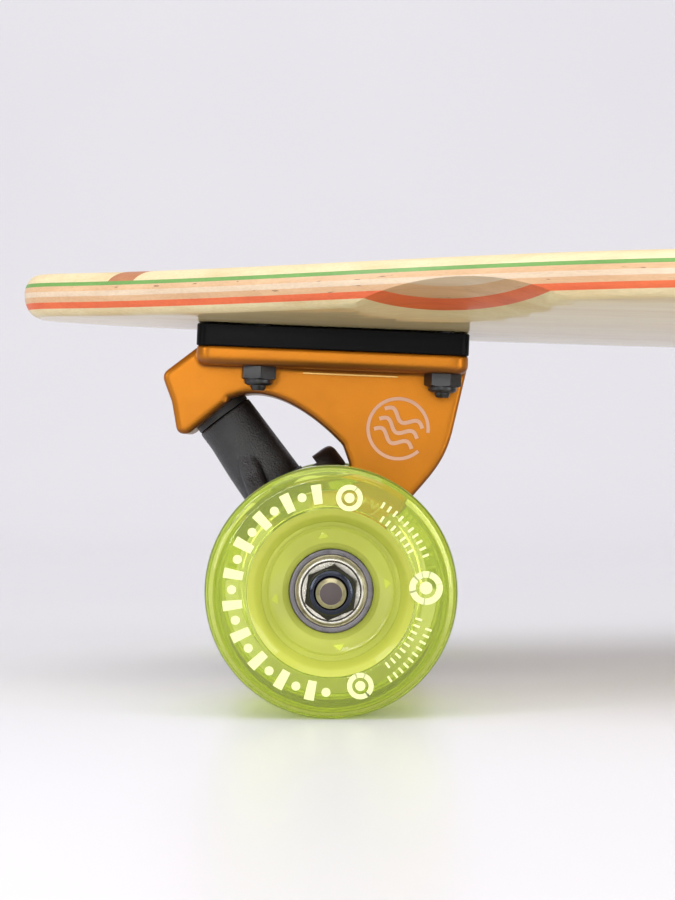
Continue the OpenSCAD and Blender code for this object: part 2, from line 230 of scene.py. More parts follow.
def tidy(mesh, sharp):
    """Welds doubled points, turns faces outwards and shades the mesh smooth up to the sharp angle."""
    bm = bmesh.new()
    bm.from_mesh(mesh)
    bmesh.ops.remove_doubles(bm, verts=bm.verts, dist=1e-7)
    bmesh.ops.dissolve_degenerate(bm, dist=1e-8, edges=bm.edges)
    bmesh.ops.recalc_face_normals(bm, faces=bm.faces)
    bm.to_mesh(mesh)
    bm.free()
    shade(mesh, sharp)


def shade(mesh, sharp):
    mesh.shade_smooth()
    mesh.set_sharp_from_angle(angle=math.radians(sharp))


def lathe(name, profile, segments=96, sharp=32, place=None, slots=None):
    """A closed (radius, height) profile turned about z. slots gives each profile edge's material."""
    n = len(profile)
    verts, faces, face_slots = [], [], []
    for s in range(segments):
        a = 2 * math.pi * s / segments
        verts += [(p[0] * math.cos(a), p[0] * math.sin(a), p[1]) for p in profile]
    for s in range(segments):
        t = (s + 1) % segments
        for i in range(n):
            j = (i + 1) % n
            if profile[i][0] < 1e-6 and profile[j][0] < 1e-6:
                continue
            faces.append((s * n + i, t * n + i, t * n + j, s * n + j))
            face_slots.append(slots[i] if slots else 0)
    obj = new_object(name, verts, faces, sharp, face_slots if slots else None)
    if place is not None:
        obj.matrix_world = place
    return obj


def stacked(name, rings, sharp=32, place=None):
    """A closed solid through rings of points, with flat caps. Each ring is (outline, height)."""
    n = len(rings[0][0])
    verts = [(p.x, p.y, z) for outline, z in rings for p in outline]
    faces = []
    for k in range(len(rings) - 1):
        for i in range(n):
            j = (i + 1) % n
            faces.append((k * n + i, k * n + j, (k + 1) * n + j, (k + 1) * n + i))
    faces.append(tuple(range(n)))
    faces.append(tuple((len(rings) - 1) * n + i for i in reversed(range(n))))
    obj = new_object(name, verts, faces, sharp)
    if place is not None:
        obj.matrix_world = place
    return obj


def edge_steps(z0, z1, r0, r1, steps=4):
    """(inset, height) down a rounded edge at each end of a prism."""
    low = [(r0 * (1 - math.sin(math.pi / 2 * k / steps)), z0 + r0 * (1 - math.cos(math.pi / 2 * k / steps)))
           for k in range(steps + 1)]
    high = [(r1 * (1 - math.cos(math.pi / 2 * k / steps)), z1 - r1 * (1 - math.sin(math.pi / 2 * k / steps)))
            for k in range(steps + 1)]
    return low + high


def prism(name, outline, z0, z1, r=0.4, place=None, steps=3, sharp=32):
    rings = [(inset_outline(outline, d), z) for d, z in edge_steps(z0, z1, r, r, steps)]
    return stacked(name, rings, sharp, place)


def slab(name, length, width, corner, z0, z1, r0, r1, place=None):
    rings = [(rounded_rect(length, width, corner, d), z) for d, z in edge_steps(z0, z1, r0, r1, 6)]
    return stacked(name, rings, place=place)


def joined(name, objs):
    """One object from several, with its points where they were and its own frame at the origin."""
    bm = bmesh.new()
    for o in objs:
        mesh = o.data.copy()
        mesh.transform(o.matrix_world)
        bm.from_mesh(mesh)
        bpy.data.meshes.remove(mesh)
        bpy.data.objects.remove(o)
    mesh = bpy.data.meshes.new(name)
    bm.to_mesh(mesh)
    bm.free()
    obj = bpy.data.objects.new(name, mesh)
    bpy.context.scene.collection.objects.link(obj)
    return obj


def settle(obj, sharp=None):
    """Applies the object's modifiers."""
    graph = bpy.context.evaluated_depsgraph_get()
    mesh = bpy.data.meshes.new_from_object(obj.evaluated_get(graph))
    obj.modifiers.clear()
    obj.data = mesh
    if sharp is not None:
        shade(mesh, sharp)
    return obj


def cut(obj, cutter, how="DIFFERENCE", sharp=32):
    mod = obj.modifiers.new("cut", "BOOLEAN")
    mod.operation = how
    mod.object = cutter
    mod.solver = "EXACT"
    settle(obj, sharp)
    bpy.data.objects.remove(cutter)
    if not obj.data.polygons:
        raise ValueError(f"cutting {obj.name} left nothing")
    return obj


def cast(obj, voxel=0.45, rounds=5, cutter=None):
    """Melts overlapping shells into one cast body with soft edges."""
    def remesh():
        mod = obj.modifiers.new("cast", "REMESH")
        mod.mode = "VOXEL"
        mod.voxel_size = voxel * MM
    remesh()
    settle(obj)
    if cutter is not None:
        cut(obj, cutter)
        remesh()
        settle(obj)
    mod = obj.modifiers.new("soften", "SMOOTH")
    mod.factor = 0.5
    mod.iterations = rounds
    settle(obj, 80)
    return obj


def copy_of(obj, name, place):
    """Another object with the same mesh. place is the world matrix that takes the first one's place."""
    twin = bpy.data.objects.new(name, obj.data)
    bpy.context.scene.collection.objects.link(twin)
    twin.matrix_world = place
    return twin


def fit(obj, body, node, slot, *materials):
    """Dresses a piece, ties it to its body and lets it stand for its CAD node."""
    if materials:
        faces = obj.data.polygons
        kept = [0] * len(faces)
        faces.foreach_get("material_index", kept)
        obj.data.materials.clear()
        for m in materials:
            obj.data.materials.append(m)
        faces.foreach_set("material_index", [min(k, len(materials) - 1) for k in kept])
    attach(obj, body)
    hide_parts(*([node] if isinstance(node, str) else node))
    return obj


# ---- material helpers ----

class Look:
    """A node material with one Principled shader, and short ways to add texture to it."""

    def __init__(self, name, **sockets):
        self.mat = bpy.data.materials.new(name)
        self.mat.use_nodes = True
        self.tree = self.mat.node_tree
        self.tree.nodes.clear()
        self.out = self.node("OutputMaterial")
        self.shader = self.node("BsdfPrincipled")
        self.surface(self.shader.outputs[0])
        for key, value in sockets.items():
            self.put(value, self.shader.inputs[key.replace("_", " ").title().replace("Ior", "IOR")])

    def link(self, a, b):
        self.tree.links.new(a, b)

    def put(self, value, target):
        """Links a socket to the target, or sets a plain value or colour on it."""
        if isinstance(value, bpy.types.NodeSocket):
            self.link(value, target)
        else:
            target.default_value = (*value, 1) if isinstance(value, tuple) else value

    def node(self, kind, **inputs):
        made = self.tree.nodes.new("ShaderNode" + kind)
        for key, value in inputs.items():
            made.inputs[key].default_value = value
        return made

    def space(self, scale, turned=(0, 0, 0)):
        """Object coordinates, where a scale of 1000 makes a pattern's cell about a millimetre."""
        where = self.node("TexCoord")
        mapping = self.node("Mapping")
        mapping.inputs["Scale"].default_value = scale if isinstance(scale, tuple) else (scale,) * 3
        mapping.inputs["Rotation"].default_value = turned
        self.link(where.outputs["Object"], mapping.inputs["Vector"])
        return mapping.outputs[0]

    def noise(self, scale, detail=4.0, rough=0.55, warp=0.0):
        made = self.node("TexNoise", Scale=1.0, Detail=detail, Roughness=rough, Distortion=warp)
        self.link(self.space(scale), made.inputs["Vector"])
        return made.outputs["Fac"]

    def ramp(self, fac, stops, hard=False):
        made = self.node("ValToRGB")
        made.color_ramp.interpolation = "CONSTANT" if hard else "LINEAR"
        elements = made.color_ramp.elements
        while len(elements) < len(stops):
            elements.new(0.5)
        for element, (at, tone) in zip(elements, stops):
            element.position = at
            element.color = (*tone, 1) if isinstance(tone, tuple) else (tone, tone, tone, 1)
        self.link(fac, made.inputs["Fac"])
        return made.outputs["Color"]

    def mix(self, fac, a, b, how="MIX"):
        made = self.node("Mix")
        made.data_type = "RGBA"
        made.blend_type = how
        for socket, value in (("Factor", fac), ("A", a), ("B", b)):
            self.put(value, next(s for s in made.inputs if s.name == socket and s.enabled))
        return next(s for s in made.outputs if s.enabled)

    def sum(self, a, b, how="ADD"):
        made = self.node("Math")
        made.operation = how
        self.put(a, made.inputs[0])
        self.put(b, made.inputs[1])
        return made.outputs[0]

    def colour(self, socket):
        self.link(socket, self.shader.inputs["Base Color"])

    def roughness(self, fac, low, high):
        made = self.node("MapRange")
        made.inputs["To Min"].default_value = low
        made.inputs["To Max"].default_value = high
        self.link(fac, made.inputs["Value"])
        self.link(made.outputs[0], self.shader.inputs["Roughness"])

    def bump(self, fac, depth_mm, strength=1.0):
        made = self.node("Bump", Strength=strength, Distance=depth_mm * MM)
        self.link(fac, made.inputs["Height"])
        self.link(made.outputs[0], self.shader.inputs["Normal"])

    def facing_down(self):
        """1 where the surface looks straight down, and -1 where it looks up."""
        shape = self.node("NewGeometry")
        return self.sum(self.part(shape.outputs["Normal"], "Z"), -1.0, "MULTIPLY")

    def part(self, vector, axis):
        split = self.node("SeparateXYZ")
        self.link(vector, split.inputs[0])
        return split.outputs[axis]

    def lobe(self, kind, tone):
        """The output of a plain shader of one colour."""
        made = self.node(kind)
        self.put(tone, made.inputs["Color"])
        return made.outputs[0]

    def blend(self, fac, a, b):
        """A shader between two others."""
        made = self.node("MixShader")
        for value, target in zip((fac, a, b), made.inputs):
            self.put(value, target)
        return made.outputs[0]

    def surface(self, socket):
        self.link(socket, self.out.inputs["Surface"])

    def absorb(self, tone, density):
        """Takes colour from light along its way through the material."""
        depth = self.node("VolumeAbsorption", Density=density)
        self.put(tone, depth.inputs["Color"])
        self.link(depth.outputs[0], self.out.inputs["Volume"])


def veneer(name, pale, deep, dark, specks):
    """Wood with its grain along the board, dark pores where specks is over 0, and most of its varnish below."""
    look = Look(name, roughness=0.45, coat_roughness=0.10, ior=1.5)
    broad = look.noise((3.0, 105.0, 260.0), 5, 0.6, 0.4)
    fine = look.noise((21.0, 1560.0, 2400.0), 3, 0.7)
    tone = look.ramp(broad, [(0.30, deep), (0.62, pale)])
    fibre = look.ramp(fine, [(0.35, 0.80), (0.65, 1.0)])
    tone = look.mix(0.55, tone, fibre, "MULTIPLY")
    if specks:
        knots = look.noise((110.0, 400.0, 1300.0), 2, 0.5, 0.3)
        mask = look.ramp(knots, [(0.68, 0.0), (0.74, specks)])
        tone = look.mix(mask, tone, dark)
    varnish = look.ramp(look.facing_down(), [(0.972, 0.16), (0.990, 0.72)])
    look.link(varnish, look.shader.inputs["Coat Weight"])
    look.colour(tone)
    look.bump(fine, 0.03, 0.35)
    return look.mat


def coat_of(name, base, rough, grain_mm, depth_mm, metallic=0.0, spread=0.25, under=None, shine=0.5):
    """A coated casting or moulding: an even colour, a fine grain, and painted shade in the under tone where it
    faces down.
    """
    look = Look(name, roughness=rough, metallic=metallic, specular_ior_level=shine)
    fine = look.noise(1000.0 / grain_mm, 3, 0.6)
    broad = look.noise(40.0, 3, 0.5)
    dim = tuple(c * (1 - spread) for c in base)
    tone = look.ramp(broad, [(0.3, dim), (0.7, base)])
    tone = look.mix(look.ramp(fine, [(0.3, 0.0), (0.7, 0.25)]), tone, dim)
    if under:
        # Painted shade: faces that look down are mixed towards the under tone.
        tone = look.mix(look.ramp(look.facing_down(), [(0.10, 0.0), (0.55, 0.85)]), tone, under)
    look.colour(tone)
    look.roughness(broad, rough * 0.85, rough * 1.15)
    look.bump(fine, depth_mm)
    return look.mat


def turned_metal(name, base, rough, pitch_mm=0.25, depth_mm=0.01, dirt=(0.1, 0.09, 0.07)):
    """Metal with fine rings from the lathe about its own z axis, and a little grime."""
    look = Look(name, roughness=rough, metallic=1.0)
    where = look.node("TexCoord")
    flat = look.node("VectorMath")
    flat.operation = "MULTIPLY"
    flat.inputs[1].default_value = (1, 1, 0)
    look.link(where.outputs["Object"], flat.inputs[0])
    radius = look.node("VectorMath")
    radius.operation = "LENGTH"
    look.link(flat.outputs[0], radius.inputs[0])
    rings = look.node("TexNoise")
    rings.noise_dimensions = "1D"
    rings.inputs["Detail"].default_value = 3
    look.link(look.sum(radius.outputs["Value"], 1000.0 / pitch_mm, "MULTIPLY"), rings.inputs["W"])
    rings.inputs["Scale"].default_value = 1.0
    grime = look.noise(500.0, 4, 0.65)
    stain = look.ramp(grime, [(0.52, 0.0), (0.75, 0.7)])
    turned = look.mix(0.3, base, look.ramp(rings.outputs["Fac"], [(0.3, 0.6), (0.7, 1.0)]), "MULTIPLY")
    look.colour(look.mix(stain, turned, dirt))
    look.roughness(grime, rough * 0.8, rough * 1.4)
    look.bump(rings.outputs["Fac"], depth_mm)
    return look.mat


LIME = (0.68, 0.80, 0.13)
# A paler lime: painted light for the tyre's inner slope.
LIME_PAINTED_LIGHT_TINT = (0.95, 0.99, 0.17)
LIME_DEEP = (0.90, 0.95, 0.06)
LIME_SHADOW = (0.86, 0.92, 0.60)
LIME_DENSITY = 32.0


def urethane(name, tint, haze, milk, rough, density):
    """Clear tinted urethane: light bends at its skin and loses colour in its depth, and its shadow is tinted.
    The haze is a cloudiness that glows from light behind it and, by the milk share, from light in front."""
    look = Look(name, roughness=rough, transmission_weight=1.0, ior=1.46)
    cloud = look.noise(60.0, 3, 0.5)
    look.colour(look.mix(look.ramp(cloud, [(0.3, 0.0), (0.7, 0.06)]), (1.0, 1.0, 1.0), tint))
    cloudy = look.blend(milk, look.lobe("BsdfTranslucent", tint), look.lobe("BsdfDiffuse", tint))
    lit = look.blend(haze, look.shader.outputs[0], cloudy)
    shadow = look.lobe("BsdfTransparent", LIME_SHADOW)
    look.surface(look.blend(look.node("LightPath").outputs["Is Shadow Ray"], lit, shadow))
    look.absorb(LIME_DEEP, density)
    return look.mat


def seam(name, density, sheen):
    """Where two clear mouldings are bonded, light passes straight through, with a faint gleam."""
    look = Look(name)
    look.tree.nodes.remove(look.shader)
    speck = look.ramp(look.noise(900.0, 2, 0.5), [(0.3, (0.96, 0.97, 0.90)), (0.7, (1.0, 1.0, 1.0))])
    gleam = look.node("BsdfGlossy", Roughness=0.1)
    look.surface(look.blend(sheen, look.lobe("BsdfTransparent", speck), gleam.outputs[0]))
    look.absorb(LIME_DEEP, density)
    return look.mat


# Each ply's slot, then its material's name, its pale, deep and dark tones, and how strong its specks are
MAPLE_DARK = (0.4, 0.25, 0.12)
TAN_DARK = (0.16, 0.08, 0.04)
VENEERS = {
    "ply_top_maple": ("maple", "maple_top_veneer", (0.80, 0.67, 0.40), (0.71, 0.55, 0.29), MAPLE_DARK, 0),
    "ply_green": ("green_dye", "green_veneer", (0.165, 0.37, 0.08), (0.125, 0.30, 0.06), (0.1, 0.2, 0.05), 0),
    "ply_upper_tan": ("tan_veneer", "tan_veneer_upper", (0.76, 0.49, 0.27), (0.66, 0.39, 0.20), TAN_DARK, 0.8),
    "ply_core_maple": ("pale_maple", "core_veneer", (0.80, 0.64, 0.46), (0.70, 0.52, 0.35), MAPLE_DARK, 0),
    "ply_lower_tan": ("tan_veneer", "tan_veneer_lower", (0.75, 0.47, 0.26), (0.64, 0.37, 0.19), TAN_DARK, 0.8),
    "ply_orange": ("orange_dye", "orange_veneer", (0.84, 0.16, 0.045), (0.72, 0.11, 0.03),
                   (0.3, 0.06, 0.02), 0),
    "ply_bottom_maple": ("maple", "maple_lacquered", (0.83, 0.70, 0.42), (0.72, 0.54, 0.27), MAPLE_DARK, 0),
}
WOODS = {ply: (slot, veneer(*tones)) for ply, (slot, *tones) in VENEERS.items()}
MAHOGANY = veneer("mahogany_inlay", (0.51, 0.21, 0.09), (0.38, 0.14, 0.06), (0.05, 0.02, 0.01), 0)
# The orange's under tone, a dark brown on every face that looks down, is painted shade.
ORANGE = coat_of("orange_anodised", (0.60, 0.200, 0.007), 0.34, 0.35, 0.02, 0.72, 0.28, (0.26, 0.09, 0.02))
# A pale orange for the thin ledge under the flange: partly bare machined metal, partly a painted highlight.
ORANGE_MACHINED_AND_HIGHLIGHT = coat_of("orange_machined_and_highlight", (0.92, 0.55, 0.16), 0.22, 0.35, 0.005, 0.6, 0.05)
HANGER_BLACK = coat_of("hanger_black", (0.008, 0.008, 0.010), 0.36, 0.6, 0.36, 0.0, 0.2, shine=0.8)
RISER_BLACK = coat_of("riser_black", (0.0035, 0.0035, 0.0045), 0.34, 0.8, 0.006, shine=0.08)
NUT_BLACK = coat_of("black_oxide", (0.012, 0.012, 0.014), 0.32, 0.5, 0.02, 0.2, 0.2, shine=0.7)
STEEL = turned_metal("ground_steel", (0.55, 0.55, 0.56), 0.30)
BOLT_END = coat_of("axle_end_steel", (0.13, 0.108, 0.106), 0.45, 0.35, 0.05, 1.0, 0.3)
WASHER = turned_metal("washer_steel", (0.68, 0.65, 0.56), 0.26, 0.35, 0.012)
DARK_NUT = coat_of("dark_plated", (0.045, 0.043, 0.028), 0.24, 0.8, 0.02, 0.9, 0.3)
NUT_COLLAR = coat_of("blue_grey_collar", (0.035, 0.040, 0.055), 0.14, 0.6, 0.04, 0.85, 0.3)
RACE = turned_metal("race_steel", (0.17, 0.16, 0.165), 0.28, 0.3, 0.008, (0.05, 0.05, 0.05))
SHIELD = turned_metal("shield_steel", (0.40, 0.36, 0.22), 0.30, 0.5, 0.008, (0.08, 0.07, 0.04))
BALL_STEEL = turned_metal("ball_steel", (0.75, 0.75, 0.77), 0.08, 1.0, 0.001)
BRASS = turned_metal("cage_brass", (0.60, 0.42, 0.18), 0.32, 0.4, 0.01)
AMBER = coat_of("amber_bushing", (0.80, 0.62, 0.12), 0.28, 0.6, 0.01, 0.0, 0.15)
BLACK_RUBBER = coat_of("thrust_washer_black", (0.02, 0.02, 0.02), 0.5, 0.5, 0.02)
ACETAL = coat_of("sleeve_acetal", (0.62, 0.54, 0.32), 0.45, 0.5, 0.01)
LIME_URETHANE = urethane("lime_urethane", LIME, 0.24, 0.6, 0.02, LIME_DENSITY)
# The tyre's inner slope gets a paler, cloudier copy of its urethane: painted light where light scatters inside
# the wheel.
LIME_INNER_PAINTED_LIGHT = urethane("lime_inner_painted_light", LIME_PAINTED_LIGHT_TINT, 0.68, 0.75, 0.02, LIME_DENSITY)
LIME_CORE = urethane("lime_core", (0.83, 0.88, 0.17), 0.74, 0.75, 0.06, LIME_DENSITY * 0.3)
LIME_SEAM = seam("lime_seam", LIME_DENSITY, 0.03)
CORE_SEAM = seam("core_seam", LIME_DENSITY * 0.6, 0.05)
INK = coat_of("pale_yellow_ink", (0.86, 0.93, 0.42), 0.45, 0.3, 0.01, 0.0, 0.06)
EMBLEM_INK = coat_of("silver_pink_ink", (0.80, 0.47, 0.33), 0.5, 0.3, 0.01, 0.0, 0.1)


# ---- deck ----

TIP_X = -DECK_LEN / 2
CORNER_X = TIP_X + 12
CORNER_Y = 24
CORNER_SLOPE = 0.67
HANDLE = 147
TIP_CURVE = [(TIP_X, 5), (TIP_X, 13), (CORNER_X - 9, CORNER_Y - 9 * CORNER_SLOPE), (CORNER_X, CORNER_Y)]
SIDE_CURVE = [(CORNER_X, CORNER_Y), (CORNER_X + HANDLE, CORNER_Y + HANDLE * CORNER_SLOPE),
              (-225, DECK_W / 2), (0, DECK_W / 2)]


def half_outline(tip_steps, side_steps):
    """Points along one side of the deck, each with its outward normal."""
    out = []
    for p, n in ((TIP_CURVE, tip_steps), (SIDE_CURVE, side_steps)):
        for i in range(n if p is TIP_CURVE else n + 1):
            t = i / n
            near, far = bezier(p, max(t - 1e-3, 0)), bezier(p, min(t + 1e-3, 1))
            along = (far - near).normalized()
            out.append((bezier(p, t), Vector((-along.y, along.x))))
    mirrored = [(Vector((-p.x, p.y)), Vector((-n.x, n.y))) for p, n in reversed(out[:-1])]
    return out + mirrored


OUTLINE = half_outline(12, 64)


def fall_back(h):
    """How far the rounded edge falls back at height h above the underside."""
    u = min(1.0, abs(2 * h / DECK_T - 1))
    return EDGE_ROUND * (1 - math.sqrt(max(0.0, 1 - u * u)))


def sub_levels(low, high, step=9):
    """Heights from low to high at even turns of the rounded edge."""
    a, b = [math.asin(max(-1, min(1, 2 * h / DECK_T - 1))) for h in (low, high)]
    n = max(2, math.ceil(math.degrees(b - a) / step))
    return [DECK_T / 2 * (1 + math.sin(a + (b - a) * k / n)) for k in range(n + 1)]


def edge_row(h, s, strips):
    """Points from one edge of the deck to the other, at outline step s and height h."""
    p, normal = OUTLINE[s]
    q = p - fall_back(h) * normal
    across = [q.y * (2 * j / strips - 1) for j in range(strips + 1)]
    return [(q.x, y, rise(q.x, y) + h) for y in across]


def veneer_mesh(name, low, high, strips=20):
    """One veneer: a grid below, a grid above and rings round its edge."""
    verts, faces = [], []
    rows = len(OUTLINE)
    wide = strips + 1

    def grid(h):
        start = len(verts)
        for s in range(rows):
            verts.extend(edge_row(h, s, strips))
        return start

    bottom, top = grid(low), grid(high)
    for start in (bottom, top):
        for s in range(rows - 1):
            for j in range(strips):
                k = start + s * wide + j
                faces.append((k, k + 1, k + wide + 1, k + wide))

    def rim(h):
        start = len(verts)
        rings = [edge_row(h, s, strips) for s in range(rows)]
        loop = rings[0] + [ring[-1] for ring in rings[1:]]
        loop += rings[-1][-2::-1]
        loop += [ring[0] for ring in rings[-2:0:-1]]
        verts.extend(loop)
        return start, len(loop)

    rims = [rim(h) for h in sub_levels(low, high)]
    for (a, n), (b, _) in zip(rims, rims[1:]):
        for i in range(n):
            j = (i + 1) % n
            faces.append((a + i, a + j, b + j, b + i))
    return new_object(name, verts, faces, 38)


def well_cutters():
    """Leaning cylinders that hollow the deck above each wheel."""
    made = []
    for end in ENDS:
        for side in (-1, 1):
            place = (truck_frame(end) @ move(WELL_X, side * WELL_Y, rise(AXLE_X - WELL_X, WELL_Y))
                     @ Matrix.Rotation(side * (WELL_TILT - math.pi / 2), 4, "X") @ move(0, side * WELL_R, 0))
            made.append(prism("well_cutter", circle(WELL_R, 360), -60, 140, 0.0, place, 1))
    return joined("well_cutters", made)


def bolt_places():
    return [(x, side * HOLE_Y) for x in (HOLE_IN, HOLE_OUT) for side in (-1, 1)]


def hole_cutters(sunk):
    """Drills for the mounting bolts, widening at the top where the heads are sunk."""
    made = []
    for end in ENDS:
        for x, y in bolt_places():
            profile = [(0, -6), (HOLE_R, -6), (HOLE_R, DECK_T - HEAD_T), (HOLE_R, DECK_T + 6), (0, DECK_T + 6)]
            if sunk:
                profile = [(0, -6), (2.6, -6), (2.6, DECK_T - HEAD_T), (5, DECK_T), (6.6, DECK_T + 1.6),
                           (0, DECK_T + 1.6)]
            made.append(lathe("hole_cutter", profile, 48, place=plate_frame(end) @ move(x, y, 0)))
    return joined("hole_cutters", made)


def stripe_cutters():
    """A tall bar along the board for each stripe."""
    made = []
    for middle in (-STRIPE_Y, STRIPE_Y):
        y0, y1 = middle - STRIPE_W / 2, middle + STRIPE_W / 2
        box = [Vector(p) for p in ((-500, y0), (500, y0), (500, y1), (-500, y1))]
        made.append(prism("band_cutter", box, 60, 200, 0.0, None, 1))
    return joined("bands", made)


def build_deck():
    above = DECK_T
    for i, (name, (slot, wood)) in enumerate(WOODS.items()):
        low = above - PLY_T[i]
        ply = veneer_mesh(name + "_veneer", max(low, 0.0), above)
        above = low
        cut(ply, hole_cutters(i < 2), sharp=38)
        if i > 2:
            cut(ply, well_cutters(), sharp=38)
        if i == 0:
            stripes = copy_of(ply, "inlay_stripes_wood", Matrix.Identity(4))
            cut(stripes, stripe_cutters(), "INTERSECT", 38)
            cut(ply, stripe_cutters(), sharp=38)
            fit(stripes, "root", "inlay_stripes", "mahogany", MAHOGANY)
        fit(ply, "root", name, slot, wood)


# ---- truck ----

def steer_point(perp, along):
    """A point of the side view, from the steering frame into the truck frame."""
    s, c = math.sin(STEER_TILT), math.cos(STEER_TILT)
    return Vector((STEER_AT.x + perp * c + along * s, STEER_AT.z + perp * s - along * c))


def web_outline():
    arch = curve([(-29.6, 84.3), (-22, 88.6), (-9, 83.5), (3.3, 70.4)], 24)
    heel = curve([(24.5, 55.9), (30.3, 62.5), (34, 66.5), (36, 75.5)], 12)
    toe = filleted([steer_point(-9.5, -12), Vector((-45.9, 74.0)), Vector((-42.6, 73.6)), steer_point(5, -2)],
                   [0, 3.5, 3.5, 0.5])
    nose = filleted([Vector((-36, 96)), Vector((-38, 100)), steer_point(6, -20.3), steer_point(-7, -20.3),
                     steer_point(-9.5, -12)], [0, 0, 1.5, 3.0, 0])
    return (nose[:-1] + toe + arch[1:] + [steer_point(21.5, 34.5), steer_point(17, 41.5)]
            + [steer_point(14, PLATE_SEAT), steer_point(0, PLATE_SEAT), steer_point(0, PLATE_FACE)]
            + [steer_point(15, PLATE_FACE)] + heel + [Vector((40.2, 93.4)), Vector((40.2, 96))])


def upright(end):
    """A frame whose x and y are the side view's x and z."""
    return truck_frame(end) @ turn(90, "X")


def build_baseplate():
    low = -RISER_T - FLANGE_T
    shells = [
        slab("flange", FLANGE_LEN, FLANGE_W, 4.5, low, -RISER_T, 2.4, 0.8, plate_frame("front")),
        prism("web", web_outline(), -WEB_W / 2, WEB_W / 2, 1.6, upright("front"), 4),
        lathe("lobe", filleted([(0, PLATE_SEAT), (15.5, PLATE_SEAT), (15.5, PLATE_FACE), (0, PLATE_FACE)],
                               [0, 1.5, 1.5, 0]), 96, place=steering_frame("front")),
    ]
    body = cast(joined("front_baseplate_casting", shells), 0.42, 6)
    bores = [lathe("bore", [(0, low - 2), (HOLE_R, low - 2), (HOLE_R, 0), (0, 0)], 48,
                   place=plate_frame("front") @ move(x, y, 0))
             for x in (HOLE_IN, HOLE_OUT, HOLE_IN - 63.5) for y in (-HOLE_Y, HOLE_Y)]
    stepped = [(0, -15), (5.02, -15), (5.02, -2), (8.9, -2), (8.9, 3), (5.02, 3), (5.02, 70), (0, 70)]
    bores.append(lathe("bore", stepped, 64, place=steering_frame("front")))
    cut(body, joined("bores", bores), sharp=60)
    sheet = [Vector(p) for p in ((-8, -14.75), (20, -14.75), (20, 14.75), (-8, 14.75))]
    ledge = prism("ledge", sheet, low - 1.5, low - 0.8, 0.15, plate_frame("front"), 2)
    count = len(body.data.polygons)
    whole = joined("front_baseplate_casting", [body, ledge])
    # The ledge's faces take the second, paler orange, partly machined metal and partly a painted highlight.
    for face in whole.data.polygons:
        face.material_index = 1 if face.index >= count else 0
    shade(whole.data, 60)
    return whole


def build_hanger():
    place = steering_frame("front")
    barrel = filleted([(0, 0.4), (BARREL_R, 0.4), (BARREL_R, DISC_TOP + 2.5), (BARREL_R + 0.2, DISC_TOP + 2.5),
                       (13.5, DISC_TOP + 2.2), (15.0, DISC_TOP), (DISC_R, DISC_TOP), (DISC_R, DISC_BOTTOM),
                       (0, DISC_BOTTOM)],
                      [0, 0.4, 0.8, 0, 1.2, 0.8, 3.0, 1.0, 0])
    shells = [lathe("barrel", barrel, 128, place=place)]
    belly = filleted([(0, 4), (8.0, 4), (9.1, 16), (9.6, 26), (8.6, 29), (0, 29)], [0, 2, 5, 3, 1, 0])
    shells.append(lathe("belly", belly, 96, place=place @ move(-0.8, 0, 0)))
    wing = [(10, 27), (18, 27.2), (26, 31.5), (37, 43.5), (46, 49.5), (58, 51.0), (58, 57.2), (58, 61),
            (40, 62), (30, 60.0), (24.0, 57.2), (21.5, PLATE_SEAT), (15.5, DISC_BOTTOM), (10, DISC_BOTTOM)]
    fin = [(4, 11), (8.2, 12.5), (12, 20), (18.5, 27.5), (18.5, 30), (4, 30)]
    side_view = place @ turn(-90, "Y")
    leaning = side_view @ turn(-15.6, "Y")
    for side in (-1, 1):
        for outline, low, high, r, view in ((wing, -1.2, 9.6, 2.6, side_view), (fin, -5.1, 1.3, 1.8, leaning)):
            points = filleted([(along, side * out) for out, along in outline], 2.5)
            shells.append(prism("wing", points, low, high, r, view, 4))
    for side in SIDES:
        boss = filleted([(0, 27), (8.3, 27), (8.5, 55), (8.5, SHOULDER - 6), (7.4, SHOULDER), (0, SHOULDER)],
                        [0, 2, 4, 1, 1.2, 0])
        shells.append(lathe("boss", boss, 96, place=axle_frame("front", side)))
    body = cast(joined("front_hanger_casting", shells), 0.42, 6)
    axle_bore = [(0, 23), (AXLE_R, 23), (AXLE_R, 100), (0, 100)]
    bores = [lathe("bore", axle_bore, 64, place=axle_frame("front", side)) for side in SIDES]
    bores.append(lathe("bore", [(0, -2), (7, -2), (7, 40), (0, 40)], 96, place=place))
    slot = [Vector(p) for p in ((9.2, -25), (13.9, -25), (13.9, 25), (9.2, 25))]
    bores.append(prism("slot", slot, 20, 28.3, 0.0, place, 1))
    cut(body, joined("bores", bores), sharp=60)
    return body


def emblem(end, side):
    """A plain printed mark on the web: a ring with three waves in it."""
    y = WEB_W / 2 + 0.06
    film = 0.12
    ring_r = 8.9

    def ribbon(points, width):
        left, right = [], []
        for i, p in enumerate(points):
            ahead = points[min(i + 1, len(points) - 1)] - points[max(i - 1, 0)]
            across = Vector((-ahead.y, ahead.x)).normalized() * width / 2
            left.append(p + across)
            right.append(p - across)
        return left + right[::-1]

    arc = [polar(ring_r, 20 + 320 * k / 48) for k in range(49)]
    parts = [ribbon(arc, 1.0)]
    for k in range(3):
        wave = [Vector((-6.3 + 12.6 * i / 24, 3.4 - 3.4 * k + 1.3 * math.sin(i / 24 * math.tau * 1.5)))
                for i in range(25)]
        parts.append(ribbon(wave, 1.15))
    place = upright(end) @ move(19.6, 75.3, 0) @ turn(-28, "Z")
    low = y - film if side == "left" else -y
    made = [stacked("mark", [(outline, low), (outline, low + film)], place=place) for outline in parts]
    return joined(f"{end}_{side}_emblem", made)


